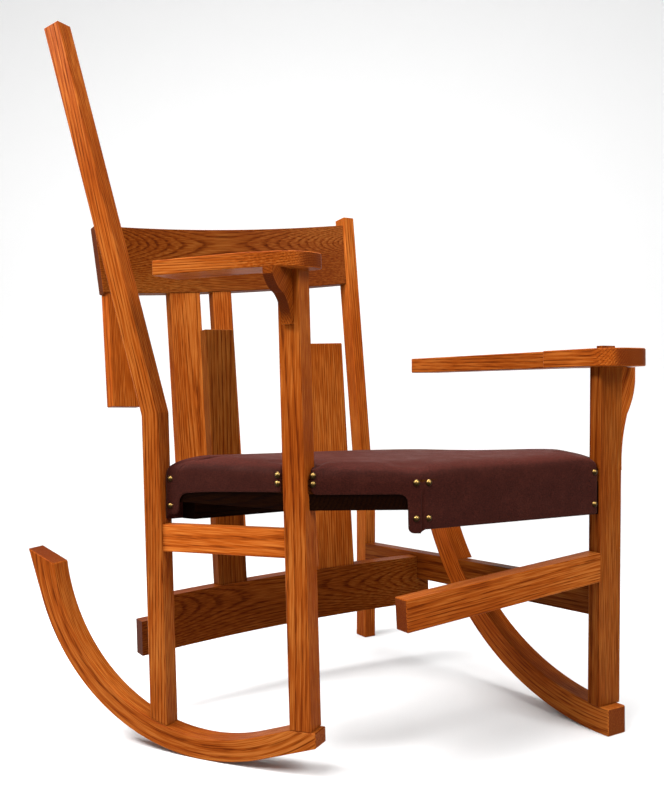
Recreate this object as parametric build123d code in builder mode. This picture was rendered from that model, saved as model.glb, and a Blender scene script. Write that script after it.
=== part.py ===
import os
from math import asin, cos, radians, sin, sqrt, tan

from build123d import *

os.makedirs("parts", exist_ok=True)

# An oak rocking chair whose members are cut short and set askew, in millimetres and degrees.
# The origin is the centre of the far rear post's foot. X runs to the far side, Y backwards, Z up.

# Joinery
fit = 0.2
ledge = 5
tenon_depth = 14
tenon_root = 4
edge_ease = 1.2
on_plane = 0.05
parallel = 0.99

# A corbel's curve as fractions of its reach and drop
bracket_end = 0.14
bracket_upper = (0.84, 0.3)
bracket_middle = (0.5, 0.45)
bracket_lower = (0.24, 0.66)

# Near side frame: a flat frame turned in plan and rolled back a little on its rocker
near_turn = 32.5
near_roll = 1.7
near_contact_x = -539
near_contact_y = -392
near_centre = 308
near_rocker_radius = 296
near_rocker_hollow = 259
near_rocker_depth = 30
near_rocker_width = 32
near_rocker_front = 17
near_rocker_end = -169
near_rocker_tail = 72.3
near_rocker_tip = 76
near_rocker_hollow_tail = 83
near_front_at = -147
near_front_size = 32
near_front_top = 663
near_rear_at = 78.5
near_rear_size = 28
near_rear_width = 28
near_rear_bend = 477
near_rear_rake = 15.1
near_rear_rise = 594
near_stretcher_height = 38
near_stretcher_thick = 20
near_stretcher_drop = 99
near_arm_thick = 20
near_arm_rear = 30
near_arm_front = -186
near_arm_outside = 66
near_arm_inside = 2
near_arm_paddle_inside = 17
near_arm_paddle = 78
near_arm_taper = 26
near_arm_corner = 14
near_arm_round = 52
near_arm_shoulder = 180
near_corbel_reach = 54
near_corbel_drop = 72
near_corbel_thick = 14

# Far side frame, square to the axes
far_front_x = 4
far_front_y = -621
far_front_width = 46
far_front_depth = 22
far_front_top = 542
far_rocker_radius = 450
far_rocker_depth = 40
far_rocker_width = 37
far_rocker_contact = -631
far_rocker_front = 1
far_rocker_toe = 8
far_rocker_tail = 68
far_rear_width = 25
far_rear_depth = 32
far_rear_bend = 250
far_rear_rake = 7.6
far_rear_rise = 609
far_stretcher_height = 48
far_stretcher_thick = 25
far_stretcher_rear_top = 191
far_stretcher_front_top = 220
far_arm_thick = 26
far_arm_tilt = 1.1
far_arm_rear = 436
far_arm_front = -54
far_arm_half = 30
far_arm_paddle_half = 48
far_arm_paddle = 135
far_arm_step = 12
far_arm_corner = 40
far_arm_tenon_proud = 5
far_corbel_reach = 33
far_corbel_drop = 154
far_corbel_thick = 14

# Members that run across
front_stretcher_thick = 25
front_stretcher_height = 43
front_stretcher_length = 355
front_stretcher_top = 269
front_stretcher_slope = 4
crest_length = 518
crest_height = 122
crest_thick = 24
crest_bow = 35
crest_tilt = 4.8
crest_bottom = 717
crest_overrun = 16
lower_rail_y = -178
lower_rail_right = 12
lower_rail_length = 565
lower_rail_height = 86
lower_rail_thick = 24
lower_rail_bow = 25
lower_rail_tilt = 1.5
lower_rail_bottom = 106
tongue_height = 54
tongue_length = 42

# Slats: distance along the rail that carries them, width and length
slat_thick = 20
upper_slats = {
    "upper_slat_left": (crest_length - 19, 60, 205),
    "upper_slat_middle": (364, 64, 380),
    "upper_slat_right": (284, 40, 505),
}
lower_slat_rake = 3.6
lower_slats = {
    "lower_slat_left": (394, 54, 425),
    "lower_slat_right": (186, 72, 400),
}

# Seat: its edge above the floor, what rises or hangs from that edge, and the plan of its padded outline
seat_edge_top = 402
crown_rise = 12
pad_edge = 10
apron_drop = 76
near_hem_drop = 29
near_lobe_drop = 68
board_thick = 18
cover_thick = 2
seat_front_corner = (-326, -607)
seat_rear_y = -345
seat_far_x = 0
rail_thick = 18
near_rear_set = 14
near_rail_inset = 4
near_rail_height = 22
seat_rail_tenon = (6, 14)
seat_rail_tenon_depth = 10
front_lobe = 20
rear_lobe = 24
lobe_corner = 12
cushion_gap = 0.3
cushion_draw = 3
cushion_post_gap = 1
crown_reach = 60
crown_steps = ((0.4, 0.08), (0.75, 0.32), (0.93, 0.64), (1, 1))
nail_high_drop = 14
nail_low_drop = 61
nail_post_high_drop = 4
nail_post_low_drop = 15
nail_rear_high_drop = 18
nail_rear_low_drop = 56
block_thick = 24
block_leg = 48
nail_head = 9
nail_dome = 3.2
nail_shank = 1.6
nail_edge = 9
screw_head = 8
screw_head_thick = 3
screw_shank = 4
screw_bite = 10


def local_point(plane, x, y, z=0):
    return plane.from_local_coords(Vector(x, y, z))


def add_tenon(plane, width, height, depth=tenon_depth):
    with Locations(plane.offset(-tenon_root)):
        Box(width, height, depth + tenon_root, align=(Align.CENTER, Align.CENTER, Align.MIN))


def cut_mortise(plane, width, height, depth=tenon_depth):
    with Locations(plane.offset(-tenon_root)):
        Box(
            width + 2 * fit,
            height + 2 * fit,
            depth + fit + tenon_root,
            align=(Align.CENTER, Align.CENTER, Align.MIN),
            mode=Mode.SUBTRACT,
        )


def ease(builder, *shoulders):
    free = [
        edge
        for edge in builder.edges()
        if all(abs(plane.to_local_coords(edge.center()).Z) > on_plane for plane in shoulders)
    ]
    chamfer(free, edge_ease)


def write(builder, name):
    builder.part.label = name
    export_step(builder.part, f"parts/{name}.step")


# Near side frame: x runs backwards along it, y up, z inwards, from a centre above the rocker
near_back = Vector(-sin(radians(near_turn)), cos(radians(near_turn)), 0)
near_inward = Vector(cos(radians(near_turn)), sin(radians(near_turn)), 0)
near_axis = near_back * cos(radians(near_roll)) - Vector(0, 0, sin(radians(near_roll)))
near = Plane(
    origin=(near_contact_x, near_contact_y, near_centre),
    x_dir=near_axis,
    z_dir=near_inward,
)
near_up = near.y_dir
near_arm_level = near_front_top - near_centre
near_stretcher_at = seat_edge_top - near_stretcher_drop - near_centre
near_sole_centre = near_rocker_radius - near_centre
near_hollow_centre = near_rocker_hollow + near_rocker_depth - near_centre
near_front_back_face = near_front_at + near_front_size / 2
near_rear_front_face = near_rear_at - near_rear_size / 2

# Far side frame: x runs backwards, y up, z to the far side, from the centre of its rocker's circle
far = Plane(origin=(far_front_x, far_rocker_contact, far_rocker_radius), x_dir=(0, 1, 0), z_dir=(1, 0, 0))
far_rocker_top = far_rocker_radius - far_rocker_depth
far_front_at = far_front_y - far_rocker_contact
far_front_back_face = far_front_y + far_front_depth / 2
far_front_near_face = far_front_x - far_front_width / 2

# Shoulders of the seat rails against the posts
seat_crown = seat_edge_top + crown_rise
seat_hem = seat_edge_top - apron_drop
seat_near_hem = seat_edge_top - near_hem_drop
near_lobe_hem = seat_edge_top - near_lobe_drop
board_top = seat_edge_top - pad_edge
board_bottom = board_top - board_thick
rail_height = board_bottom - seat_hem
near_rail_middle = near_rail_inset + rail_thick / 2 - near_front_size / 2
near_rail_rear_middle = near_rear_width / 2 - ledge - seat_rail_tenon[0] / 2
near_rail_level = board_bottom - near_rail_height / 2 - near_centre
near_rail_rear = Plane(
    origin=local_point(near, near_rear_front_face, near_rail_level, near_rail_rear_middle),
    x_dir=near_inward,
    z_dir=near_axis,
)
near_rail_front = Plane(
    origin=local_point(near, near_front_back_face, near_rail_level, near_rail_middle),
    x_dir=near_inward,
    z_dir=-near_axis,
)
front_rail_shoulder = Plane(
    origin=(far_front_near_face, far_front_y, seat_hem + rail_height / 4),
    x_dir=(0, 1, 0),
    z_dir=(1, 0, 0),
)
far_rail_shoulder = Plane(
    origin=(seat_far_x - cover_thick - rail_thick / 2, far_front_back_face, board_bottom - rail_height / 4),
    x_dir=(1, 0, 0),
    z_dir=(0, -1, 0),
)


# A rocker is an arc about its circle's centre, from the tail to an angle in front, then a straight toe
def rocker_profile(radius, depth, front, toe, tail):
    outer = CenterArc((0, 0), radius, -90 - front, front + tail)
    inner = CenterArc((0, 0), radius - depth, -90 - front, front + tail)
    ahead = Vector(-cos(radians(front)), sin(radians(front))) * toe
    Polyline(outer @ 0, outer @ 0 + ahead, inner @ 0 + ahead, inner @ 0)
    Line(outer @ 1, inner @ 1)


def on_toe(radius, front, x):
    return x < -radius * sin(radians(front))


def rocker_top(radius, front, x):
    if on_toe(radius, front, x):
        ahead = -radius * sin(radians(front)) - x
        return ahead * tan(radians(front)) - radius * cos(radians(front))
    return -sqrt(radius**2 - x**2)


# The near rocker is hollowed to a smaller circle, and level in front, where the post stands
def near_top(x):
    x = max(x, near_front_back_face)
    return near_hollow_centre + rocker_top(near_rocker_hollow, near_rocker_front, x)


def far_top(x):
    return rocker_top(far_rocker_top, far_rocker_front, x)


def foot_tenon_plane(plane, top, x, side_dir):
    foot = local_point(plane, x, top(x))
    return Plane(origin=foot, x_dir=side_dir, z_dir=-plane.y_dir)


def scribed_foot(top, x, size, curved=False):
    front_foot = (x - size / 2, top(x - size / 2))
    rear_foot = (x + size / 2, top(x + size / 2))
    if curved:
        ThreePointArc(front_foot, (x, top(x)), rear_foot)
    else:
        Line(front_foot, rear_foot)
    return front_foot, rear_foot


def bent_post(front_foot, rear_foot, bend, rake, rise):
    x = (front_foot[0] + rear_foot[0]) / 2
    half = (rear_foot[0] - front_foot[0]) / 2
    mitre = half * tan(radians(rake / 2))
    lean_x = rise * sin(radians(rake))
    lean_y = rise * cos(radians(rake))
    across_x = half * cos(radians(rake))
    across_y = half * sin(radians(rake))
    Polyline(
        rear_foot,
        (x + half, bend - mitre),
        (x + lean_x + across_x, bend + lean_y - across_y),
        (x + lean_x - across_x, bend + lean_y + across_y),
        (x - half, bend + mitre),
        front_foot,
    )


def bracket_profile(reach, drop):
    nose = drop * bracket_end
    toe = reach * bracket_end
    middle = (reach * bracket_middle[0], -drop * bracket_middle[1])
    Polyline((0, -drop), (0, 0), (reach, 0), (reach, -nose))
    ThreePointArc((reach, -nose), (reach * bracket_upper[0], -drop * bracket_upper[1]), middle)
    ThreePointArc(middle, (reach * bracket_lower[0], -drop * bracket_lower[1]), (toe, -drop))
    Line((toe, -drop), (0, -drop))


# Near rocker, with mortises for both feet: its tail runs straight to a slanted tip
near_front_foot = foot_tenon_plane(near, near_top, near_front_at, near_inward)
near_rear_foot = foot_tenon_plane(near, near_top, near_rear_at, near_inward)
near_front_foot_size = (near_rocker_width - 4 * ledge, near_front_size - 2 * ledge)
near_rear_foot_size = (near_rocker_width - 4 * ledge, near_rear_size - 2 * ledge)
with BuildPart() as near_rocker:
    with BuildSketch(near):
        with BuildLine():
            turn = -90 - near_rocker_front
            sole_sweep = near_rocker_front + near_rocker_tail
            hollow_sweep = near_rocker_front + near_rocker_hollow_tail
            sole = CenterArc((0, near_sole_centre), near_rocker_radius, turn, sole_sweep)
            hollow = CenterArc((0, near_hollow_centre), near_rocker_hollow, turn, hollow_sweep)
            Polyline(sole @ 1, sole @ 1 + (sole % 1) * near_rocker_tip, hollow @ 1)
            ahead = (sole @ 0).X - near_rocker_end
            toe = (near_rocker_end, (sole @ 0).Y + ahead * tan(radians(near_rocker_front)))
            seat = near_top(near_front_back_face)
            Polyline(sole @ 0, toe, (near_rocker_end, seat), (near_front_back_face, seat), hollow @ 0)
        make_face()
    extrude(amount=near_rocker_width / 2, both=True)
    ease(near_rocker)
    cut_mortise(near_front_foot, *near_front_foot_size)
    cut_mortise(near_rear_foot, *near_rear_foot_size)
write(near_rocker, "near_rocker")

# Side stretcher between the near posts
near_stretcher_width = near_stretcher_thick - 2 * ledge
near_stretcher_tall = near_stretcher_height - 2 * ledge
near_stretcher_rear = Plane(
    origin=local_point(near, near_rear_front_face, near_stretcher_at),
    x_dir=near_inward,
    z_dir=near_axis,
)
near_stretcher_front = Plane(
    origin=local_point(near, near_front_back_face, near_stretcher_at),
    x_dir=near_inward,
    z_dir=-near_axis,
)
with BuildPart() as near_side_stretcher:
    with BuildSketch(near):
        with Locations(((near_rear_front_face + near_front_back_face) / 2, near_stretcher_at)):
            Rectangle(near_rear_front_face - near_front_back_face, near_stretcher_height)
    extrude(amount=near_stretcher_thick / 2, both=True)
    ease(near_side_stretcher, near_stretcher_rear, near_stretcher_front)
    add_tenon(near_stretcher_rear, near_stretcher_width, near_stretcher_tall)
    add_tenon(near_stretcher_front, near_stretcher_width, near_stretcher_tall)
write(near_side_stretcher, "near_side_stretcher")

# Near front post, tenoned into the rocker below and the arm above
near_arm_seat = Plane(
    origin=local_point(near, near_front_at, near_arm_level),
    x_dir=near_axis,
    z_dir=near_up,
)
near_arm_tenon = near_front_size - 2 * ledge
with BuildPart() as near_front_post:
    with BuildSketch(near):
        with BuildLine():
            feet = scribed_foot(near_top, near_front_at, near_front_size)
            front_foot, rear_foot = feet
            front_top = (front_foot[0], near_arm_level)
            rear_top = (rear_foot[0], near_arm_level)
            Polyline(rear_foot, rear_top, front_top, front_foot)
        make_face()
    extrude(amount=near_front_size / 2, both=True)
    ease(near_front_post, near_arm_seat)
    add_tenon(near_front_foot, *near_front_foot_size)
    add_tenon(near_arm_seat, near_arm_tenon, near_arm_tenon, near_arm_thick - ledge)
    cut_mortise(near_stretcher_front, near_stretcher_width, near_stretcher_tall)
    cut_mortise(near_rail_front, *seat_rail_tenon, seat_rail_tenon_depth)
write(near_front_post, "near_front_post")

# Near rear post, bent back above the seat
with BuildPart() as near_rear_post:
    with BuildSketch(near):
        with BuildLine():
            feet = scribed_foot(near_top, near_rear_at, near_rear_size, curved=True)
            bent_post(*feet, near_rear_bend - near_centre, near_rear_rake, near_rear_rise)
        make_face()
    extrude(amount=near_rear_width / 2, both=True)
    ease(near_rear_post)
    add_tenon(near_rear_foot, *near_rear_foot_size)
    cut_mortise(near_stretcher_rear, near_stretcher_width, near_stretcher_tall)
    cut_mortise(near_rail_rear, *seat_rail_tenon, seat_rail_tenon_depth)
write(near_rear_post, "near_rear_post")

# Near arm: narrow at its free rear end, with a wider paddle rounded at the front
with BuildPart() as near_arm:
    rear = near_arm_rear - near_front_at
    front = near_arm_front - near_front_at
    paddle = front + near_arm_paddle
    with BuildSketch(near_arm_seat):
        with BuildLine():
            Polyline(
                (rear, near_arm_outside),
                (paddle, near_arm_outside),
                (front, near_arm_outside - near_arm_taper),
                (front, -near_arm_paddle_inside),
                (paddle, -near_arm_paddle_inside),
                (paddle + near_arm_corner, near_arm_inside),
                (rear, near_arm_inside),
                close=True,
            )
        make_face()
    extrude(amount=near_arm_thick)
    for spot, radius in (
        ((front, near_arm_outside - near_arm_taper), near_arm_round),
        ((paddle, near_arm_outside), near_arm_shoulder),
        ((front, -near_arm_paddle_inside), near_arm_corner),
    ):
        upright = near_arm.edges().filter_by(lambda edge: abs(edge.tangent_at(0.5).dot(near_up)) > parallel)
        fillet(upright.sort_by_distance(near_arm_seat.from_local_coords((*spot, 0)))[0], radius)
    ease(near_arm)
    cut_mortise(near_arm_seat, near_arm_tenon, near_arm_tenon, near_arm_thick - ledge)
write(near_arm, "near_arm")

# Near corbel, an S-shaped bracket on the post's outer face under the arm
near_corbel_plane = Plane(
    origin=local_point(near, near_front_at, near_arm_level, -near_front_size / 2),
    x_dir=-near_inward,
    z_dir=near_axis,
)
with BuildPart() as near_corbel:
    with BuildSketch(near_corbel_plane):
        with BuildLine():
            bracket_profile(near_corbel_reach, near_corbel_drop)
        make_face()
    extrude(amount=near_corbel_thick / 2, both=True)
write(near_corbel, "near_corbel")

# Far side stretcher, sloping down to the rear, halved where the rocker crosses it
far_rear_front_face = -far_rear_depth / 2
far_elevation = Plane(origin=(0, 0, 0), x_dir=(0, 1, 0), z_dir=(1, 0, 0))
far_stretcher_width = far_stretcher_thick - 2 * ledge
far_stretcher_tall = far_stretcher_height - 3 * ledge
far_stretcher_rear = Plane(
    origin=(0, far_rear_front_face, far_stretcher_rear_top - far_stretcher_height / 2),
    x_dir=(1, 0, 0),
    z_dir=(0, 1, 0),
)
far_stretcher_front = Plane(
    origin=(0, far_front_back_face, far_stretcher_front_top - far_stretcher_height / 2),
    x_dir=(1, 0, 0),
    z_dir=(0, -1, 0),
)
far_stretcher_outline = [
    (far_rear_front_face, far_stretcher_rear_top),
    (far_front_back_face, far_stretcher_front_top),
    (far_front_back_face, far_stretcher_front_top - far_stretcher_height),
    (far_rear_front_face, far_stretcher_rear_top - far_stretcher_height),
]
with BuildPart() as far_side_stretcher:
    with BuildSketch(far_elevation):
        with BuildLine():
            Polyline(*far_stretcher_outline, close=True)
        make_face()
    extrude(amount=far_stretcher_thick / 2, both=True)
    ease(far_side_stretcher, far_stretcher_rear, far_stretcher_front)
    with BuildSketch(Plane(origin=(0, *tuple(far.origin)[1:]), x_dir=far.x_dir, z_dir=far.z_dir)):
        Circle(far_rocker_radius + fit)
        Circle(far_rocker_top - fit, mode=Mode.SUBTRACT)
    extrude(amount=-far_stretcher_thick, mode=Mode.SUBTRACT)
    add_tenon(far_stretcher_rear, far_stretcher_width, far_stretcher_tall)
    add_tenon(far_stretcher_front, far_stretcher_width, far_stretcher_tall)
write(far_side_stretcher, "far_side_stretcher")

# Far rocker, halved on its far side for the stretcher
far_front_foot = foot_tenon_plane(far, far_top, far_front_at, Vector(1, 0, 0))
far_front_foot_size = (far_rocker_width - 3 * ledge, far_front_depth - 2 * ledge)
with BuildPart() as far_rocker:
    with BuildSketch(far):
        with BuildLine():
            rocker_profile(
                far_rocker_radius, far_rocker_depth, far_rocker_front, far_rocker_toe, far_rocker_tail
            )
        make_face()
    extrude(amount=far_rocker_width / 2, both=True)
    ease(far_rocker)
    with BuildSketch(far_elevation):
        with BuildLine():
            Polyline(*far_stretcher_outline, close=True)
        make_face()
        offset(amount=fit, kind=Kind.INTERSECTION)
    extrude(amount=far_rocker_width, mode=Mode.SUBTRACT)
    cut_mortise(far_front_foot, *far_front_foot_size)
write(far_rocker, "far_rocker")

# Far front post, with a tenon through the arm
far_arm_seat = Plane(
    origin=(far_front_x, far_front_y, far_front_top),
    x_dir=(0, cos(radians(far_arm_tilt)), -sin(radians(far_arm_tilt))),
    z_dir=(0, sin(radians(far_arm_tilt)), cos(radians(far_arm_tilt))),
)
far_arm_tenon = (far_front_depth - 2 * ledge, far_front_width - 4 * ledge)
front_stretcher_shoulder = Plane(
    origin=(far_front_near_face, far_front_y, front_stretcher_top - front_stretcher_height / 2),
    x_dir=(0, 1, 0),
    z_dir=(1, 0, 0),
)
front_stretcher_tenon = (front_stretcher_thick - 2 * ledge, front_stretcher_height - 3 * ledge)
with BuildPart() as far_front_post:
    top = far_front_top - far_rocker_radius
    top_slope = far_front_depth / 2 * tan(radians(far_arm_tilt))
    with BuildSketch(far):
        with BuildLine():
            feet = scribed_foot(far_top, far_front_at, far_front_depth)
            front_foot, rear_foot = feet
            rear_top = (rear_foot[0], top - top_slope)
            front_top = (front_foot[0], top + top_slope)
            Polyline(rear_foot, rear_top, front_top, front_foot)
        make_face()
    extrude(amount=far_front_width / 2, both=True)
    ease(far_front_post, far_arm_seat)
    add_tenon(far_front_foot, *far_front_foot_size)
    add_tenon(far_arm_seat, *far_arm_tenon, far_arm_thick + far_arm_tenon_proud)
    cut_mortise(far_stretcher_front, far_stretcher_width, far_stretcher_tall)
    cut_mortise(front_stretcher_shoulder, *front_stretcher_tenon)
    cut_mortise(front_rail_shoulder, *seat_rail_tenon, seat_rail_tenon_depth)
    cut_mortise(far_rail_shoulder, *seat_rail_tenon, seat_rail_tenon_depth)
write(far_front_post, "far_front_post")

# Far arm, with a wider paddle in front and a free rear end
with BuildPart() as far_arm:
    paddle = far_arm_front + far_arm_paddle
    with BuildSketch(far_arm_seat):
        with BuildLine():
            Polyline(
                (far_arm_rear, -far_arm_half),
                (far_arm_rear, far_arm_half),
                (paddle + far_arm_step, far_arm_half),
                (paddle, far_arm_paddle_half),
                (far_arm_front, far_arm_paddle_half),
                (far_arm_front, -far_arm_paddle_half),
                (paddle, -far_arm_paddle_half),
                (paddle + far_arm_step, -far_arm_half),
                close=True,
            )
        make_face()
    extrude(amount=far_arm_thick)
    upright = far_arm.edges().filter_by(lambda edge: abs(edge.tangent_at(0.5).dot(far_arm_seat.z_dir)) > parallel)
    fillet(upright.sort_by(Axis.Y)[0:2], far_arm_corner)
    ease(far_arm)
    with Locations(far_arm_seat):
        Box(
            far_arm_tenon[0] + 2 * fit,
            far_arm_tenon[1] + 2 * fit,
            3 * far_arm_thick,
            mode=Mode.SUBTRACT,
        )
write(far_arm, "far_arm")

# Far corbel, on the post's outer face
far_corbel_plane = Plane(
    origin=(far_front_x + far_front_width / 2, far_front_y, far_front_top - fit),
    x_dir=(1, 0, 0),
    z_dir=(0, -1, 0),
)
with BuildPart() as far_corbel:
    with BuildSketch(far_corbel_plane):
        with BuildLine():
            bracket_profile(far_corbel_reach, far_corbel_drop)
        make_face()
    extrude(amount=far_corbel_thick / 2, both=True)
write(far_corbel, "far_corbel")

# Front stretcher, sloping down to a free square end
with BuildPart() as front_stretcher:
    drop = front_stretcher_length * tan(radians(front_stretcher_slope))
    skew = front_stretcher_height * tan(radians(front_stretcher_slope))
    right = far_front_near_face
    left = right - front_stretcher_length
    with BuildSketch(Plane(origin=(0, far_front_y, 0), x_dir=(1, 0, 0), z_dir=(0, -1, 0))):
        with BuildLine():
            Polyline(
                (right, front_stretcher_top),
                (left, front_stretcher_top - drop),
                (left + skew, front_stretcher_top - drop - front_stretcher_height),
                (right, front_stretcher_top - front_stretcher_height),
                close=True,
            )
        make_face()
    extrude(amount=front_stretcher_thick / 2, both=True)
    ease(front_stretcher, front_stretcher_shoulder)
    add_tenon(front_stretcher_shoulder, *front_stretcher_tenon)
write(front_stretcher, "front_stretcher")


# A rail bowed back in plan: x along its chord, y forwards, z up its height
def bow_radius(length, bow):
    return (length**2 / 4 + bow**2) / (2 * bow)


def bowed_band(length, thick, bow):
    front = ThreePointArc((0, thick / 2), (length / 2, thick / 2 - bow), (length, thick / 2))
    rear = ThreePointArc((0, -thick / 2), (length / 2, -thick / 2 - bow), (length, -thick / 2))
    Line(front @ 0, rear @ 0)
    Line(front @ 1, rear @ 1)


def on_bow(rail, length, bow, x, height, up):
    radius = bow_radius(length, bow)
    turn = asin((x - length / 2) / radius)
    origin = local_point(rail, x, radius - bow - radius * cos(turn), height)
    return Plane(origin=origin, x_dir=rail.x_dir * cos(turn) + rail.y_dir * sin(turn), z_dir=up)


# Crest rail: follows the rake of the far rear post, its near end hangs free
rake_up = Vector(0, sin(radians(far_rear_rake)), cos(radians(far_rear_rake)))
crest_along = Vector(-cos(radians(crest_tilt)), 0, -sin(radians(crest_tilt)))
crest_up = (rake_up - crest_along * rake_up.dot(crest_along)).normalized()
crest_rise = (crest_bottom - far_rear_bend) * tan(radians(far_rear_rake))
crest_end = Vector(-far_rear_width / 2, crest_rise, crest_bottom)
crest = Plane(origin=crest_end - crest_along * crest_overrun, x_dir=crest_along, z_dir=crest_up)
crest_chord = crest_length + crest_overrun
crest_middle = crest_end + rake_up * (crest_height / 2)
crest_shoulder = Plane(origin=crest_middle, x_dir=(0, rake_up.Z, -rake_up.Y), z_dir=(1, 0, 0))
crest_tenon = (crest_thick - 2 * ledge, crest_height - 6 * ledge)
slat_tenon_thick = slat_thick - 2 * ledge
upper_slat_planes = {
    name: on_bow(crest, crest_chord, crest_bow, along, 0, crest_up)
    for name, (along, width, length) in upper_slats.items()
}
with BuildPart() as crest_rail:
    with BuildSketch(crest):
        with BuildLine():
            bowed_band(crest_chord, crest_thick, crest_bow)
        make_face()
    extrude(amount=crest_height)
    split(bisect_by=crest_shoulder, keep=Keep.BOTTOM)
    ease(crest_rail, crest_shoulder)
    add_tenon(crest_shoulder, *crest_tenon)
    for name, plane in upper_slat_planes.items():
        cut_mortise(plane, upper_slats[name][1] - 2 * ledge, slat_tenon_thick)
write(crest_rail, "crest_rail")

# Upper slats hang from the crest rail and end in the air
for name, plane in upper_slat_planes.items():
    along, width, length = upper_slats[name]
    with BuildPart() as upper_slat:
        hang = Plane(origin=plane.origin, x_dir=plane.x_dir, z_dir=rake_up)
        with Locations(hang.offset(slat_thick)):
            Box(width, slat_thick, length + slat_thick, align=(Align.CENTER, Align.CENTER, Align.MAX))
        split(bisect_by=plane, keep=Keep.BOTTOM)
        ease(upper_slat, plane)
        add_tenon(plane, width - 2 * ledge, slat_tenon_thick)
    write(upper_slat, name)

# Far rear post, its foot square on the floor, bent back above the seat
with BuildPart() as far_rear_post:
    half = far_rear_depth / 2
    with BuildSketch(far_elevation):
        with BuildLine():
            Line((-half, 0), (half, 0))
            bent_post((-half, 0), (half, 0), far_rear_bend, far_rear_rake, far_rear_rise)
        make_face()
    extrude(amount=far_rear_width / 2, both=True)
    ease(far_rear_post)
    cut_mortise(far_stretcher_rear, far_stretcher_width, far_stretcher_tall)
    cut_mortise(crest_shoulder, *crest_tenon)
write(far_rear_post, "far_rear_post")

# Lower back rail: its right tongue lies under the far stretcher, its left tongue ends in the air
lower_tilt = radians(lower_rail_tilt)
lower_rail_plane = Plane(
    origin=(lower_rail_right, lower_rail_y, lower_rail_bottom),
    x_dir=(-cos(lower_tilt), 0, -sin(lower_tilt)),
    z_dir=(-sin(lower_tilt), 0, cos(lower_tilt)),
)
lower_rail_up = lower_rail_plane.z_dir
lower_slat_planes = {
    name: on_bow(lower_rail_plane, lower_rail_length, lower_rail_bow, along, lower_rail_height, -lower_rail_up)
    for name, (along, width, length) in lower_slats.items()
}
stretcher_run = far_rear_front_face - far_front_back_face
stretcher_slope = (far_stretcher_front_top - far_stretcher_rear_top) / stretcher_run
rail_rear_y = lower_rail_y + lower_rail_thick / 2
stretcher_underside = (
    far_stretcher_rear_top - far_stretcher_height + stretcher_slope * (far_rear_front_face - rail_rear_y)
)
with BuildPart() as lower_back_rail:
    with BuildSketch(lower_rail_plane):
        with BuildLine():
            bowed_band(lower_rail_length, lower_rail_thick, lower_rail_bow)
        make_face()
    extrude(amount=lower_rail_height)
    with Locations((-far_stretcher_thick / 2 - fit, lower_rail_y, stretcher_underside - fit)):
        Box(
            2 * far_stretcher_thick,
            3 * lower_rail_thick,
            2 * lower_rail_height,
            align=(Align.MIN, Align.CENTER, Align.MIN),
            mode=Mode.SUBTRACT,
        )
    left_shoulder = Plane(
        origin=local_point(lower_rail_plane, lower_rail_length - tongue_length, 0, tongue_height),
        x_dir=lower_rail_plane.x_dir,
        z_dir=lower_rail_up,
    )
    with Locations(left_shoulder):
        Box(
            2 * tongue_length,
            3 * lower_rail_thick,
            lower_rail_height,
            align=(Align.MIN, Align.CENTER, Align.MIN),
            mode=Mode.SUBTRACT,
        )
    for name, plane in lower_slat_planes.items():
        cut_mortise(plane, lower_slats[name][1] - 2 * ledge, slat_tenon_thick)
write(lower_back_rail, "lower_back_rail")

# Lower slats stand on the lower rail, raked back, their tops free
for name, plane in lower_slat_planes.items():
    along, width, length = lower_slats[name]
    rake = radians(lower_slat_rake)
    lean = plane.z_dir * -cos(rake) + Vector(0, sin(rake), 0)
    with BuildPart() as lower_slat:
        with Locations(Plane(origin=plane.origin, x_dir=plane.x_dir, z_dir=lean).offset(-slat_thick)):
            Box(width, slat_thick, length + slat_thick, align=(Align.CENTER, Align.CENTER, Align.MIN))
        split(bisect_by=plane, keep=Keep.BOTTOM)
        ease(lower_slat, plane)
        add_tenon(plane, width - 2 * ledge, slat_tenon_thick)
    write(lower_slat, name)

# Seat outline in plan from the far front corner: front, near front, near, rear and far edges
near_front_corner = local_point(near, near_front_at, near_rail_level, -near_front_size / 2)
near_rear_out = near_rear_set - near_front_size / 2
near_rear_corner = local_point(near, near_rear_front_face, near_rail_level, near_rear_out)
seat_outline = [
    Vector(seat_far_x, far_front_y - far_front_depth / 2),
    Vector(*seat_front_corner),
    Vector(near_front_corner.X, near_front_corner.Y),
    Vector(near_rear_corner.X, near_rear_corner.Y),
    Vector(seat_far_x, seat_rear_y),
]
column_height = 2 * (seat_crown - seat_hem)


def seat_edge(i):
    start = seat_outline[i]
    along = seat_outline[(i + 1) % len(seat_outline)] - start
    return start, along.normalized(), along.length


def inset_outline(front, near_front, near_side, rear, far_side):
    lines = []
    for i, inset in enumerate((front, near_front, near_side, rear, far_side)):
        start, along, length = seat_edge(i)
        lines.append((start + Vector(along.Y, -along.X) * inset, along))
    corners = []
    for i, (point, along) in enumerate(lines):
        other, other_along = lines[i - 1]
        reach = (other - point).cross(other_along).Z / along.cross(other_along).Z
        corners.append(point + along * reach)
    return corners


def plan_solid(points, bottom, height):
    with BuildSketch(Plane.XY.offset(bottom)) as plan:
        with BuildLine():
            Polyline(*[(point.X, point.Y) for point in points], close=True)
        make_face()
    extrude(plan.sketch, amount=height)


def clear_posts(gap):
    near_columns = (
        (near_front_at, near_front_size, near_front_size),
        (near_rear_at, near_rear_size, near_rear_width),
    )
    for at, size, width in near_columns:
        with Locations(Plane(origin=local_point(near, at, near_rail_level), x_dir=near_axis, z_dir=near_up)):
            Box(size + 2 * gap, width + 2 * gap, column_height, mode=Mode.SUBTRACT)
    with Locations((far_front_x, far_front_y, board_bottom)):
        Box(far_front_width + 2 * gap, far_front_depth + 2 * gap, column_height, mode=Mode.SUBTRACT)


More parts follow.
